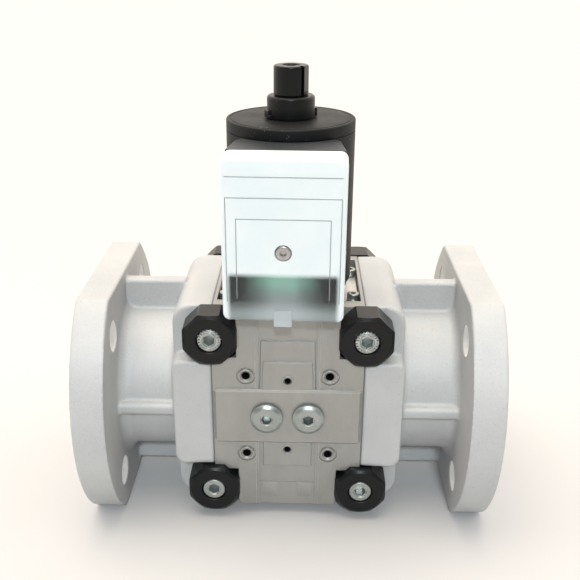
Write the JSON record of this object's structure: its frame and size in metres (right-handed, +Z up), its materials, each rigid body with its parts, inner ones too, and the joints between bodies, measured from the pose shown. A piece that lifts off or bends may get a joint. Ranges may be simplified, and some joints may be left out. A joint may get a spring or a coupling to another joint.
{
  "type": "flanged gas solenoid valve",
  "caption": "Flanged straight-way gas shut-off valve: clamped body between two cast flanges, round solenoid with a clear-fronted terminal box and a flow adjuster on top.",
  "frame": {"origin": "centre of the rectangle that the valve stands on, midway between the two flange faces, at the height of the flanges' lower flats; the pipe axis is 67.5 mm above it", "axes": "+X along the pipe from inlet to outlet, +Z up along the solenoid, -Y towards the terminal cover"},
  "size_m": [0.23, 0.165, 0.2515],
  "materials": {
    "cast_aluminium": "fine sand-blasted casting, light grey",
    "die_cast_aluminium": "bare die-casting, satin",
    "zinc_plated_steel": "bright zinc plate",
    "steel": "turned steel",
    "black_plastic": "moulded, semi-matt",
    "rubber": "matt",
    "copper": "enamelled copper wire",
    "brass": "turned brass",
    "circuit_board": "solder resist, green",
    "nylon": "moulded nylon",
    "clear_cover": "milky translucent polycarbonate"
  },
  "bodies": {
    "valve": {"inlet_flange": "cast_aluminium", "inlet_neck": "cast_aluminium", "outlet_flange": "cast_aluminium", "outlet_neck": "cast_aluminium", "valve_body": "die_cast_aluminium", "seat_partition": "die_cast_aluminium", "inlet_o_ring": "rubber", "outlet_o_ring": "rubber", "strainer_frame": "steel", "seat_ring": "brass", "closing_spring": "steel", "bonnet_plate": "steel", "bonnet_o_ring": "rubber", "bonnet_screw_1": "zinc_plated_steel", "bonnet_screw_2": "zinc_plated_steel", "bonnet_screw_3": "zinc_plated_steel", "bonnet_screw_4": "zinc_plated_steel", "guide_tube": "steel", "fixed_core": "steel", "damper_housing": "black_plastic", "clamp_cap_front_upper_inlet": "black_plastic", "clamp_cap_rear_upper_inlet": "black_plastic", "clamp_bolt_upper_inlet": "zinc_plated_steel", "clamp_nut_upper_inlet": "zinc_plated_steel", "clamp_cap_front_upper_outlet": "black_plastic", "clamp_cap_rear_upper_outlet": "black_plastic", "clamp_bolt_upper_outlet": "zinc_plated_steel", "clamp_nut_upper_outlet": "zinc_plated_steel", "clamp_cap_front_lower_inlet": "black_plastic", "clamp_cap_rear_lower_inlet": "black_plastic", "clamp_bolt_lower_inlet": "zinc_plated_steel", "clamp_nut_lower_inlet": "zinc_plated_steel", "clamp_cap_front_lower_outlet": "black_plastic", "clamp_cap_rear_lower_outlet": "black_plastic", "clamp_bolt_lower_outlet": "zinc_plated_steel", "clamp_nut_lower_outlet": "zinc_plated_steel", "test_plug_front_inlet": "zinc_plated_steel", "test_plug_rear_inlet": "zinc_plated_steel", "test_plug_washer_inlet": "steel", "test_plug_front_outlet": "zinc_plated_steel", "test_plug_rear_outlet": "zinc_plated_steel", "test_plug_washer_outlet": "steel"},
    "solenoid_head": {"solenoid_housing": "black_plastic", "solenoid_cap": "black_plastic", "lower_yoke_plate": "steel", "upper_yoke_plate": "steel", "coil_bobbin": "nylon", "coil_winding": "copper", "terminal_box": "black_plastic", "cable_entry_plug": "black_plastic", "circuit_board": "circuit_board", "terminal_block": "nylon", "cover_gasket": "rubber"},
    "plunger": {"valve_disc": "die_cast_aluminium", "disc_seal": "rubber", "valve_stem": "steel", "armature": "steel"},
    "adjuster": {"flow_adjuster": "black_plastic"},
    "cover": {"terminal_cover": "clear_cover", "cover_screw": "steel"}
  },
  "joints": [
    {"name": "plunger_lift", "type": "slide", "parent": "valve", "child": "plunger", "axis": [0, 0, 1], "range_m": [0, 0.008], "stiffness_N_per_m": 1500, "springref_m": -0.015, "deforming": ["closing_spring"]},
    {"name": "head_swivel", "type": "hinge", "parent": "valve", "child": "solenoid_head", "pos_m": [0, 0, 0.1325], "axis": [0, 0, 1], "range_deg": [-170, 170]},
    {"name": "cover_lift_off", "type": "slide", "parent": "solenoid_head", "child": "cover", "axis": [-0.0349, -0.9994, 0], "range_m": [0, 0.06]},
    {"name": "adjuster_turn", "type": "hinge", "parent": "valve", "child": "adjuster", "pos_m": [0, 0, 0.2375], "axis": [0, 0, 1], "range_deg": [0, 300]}
  ]
}
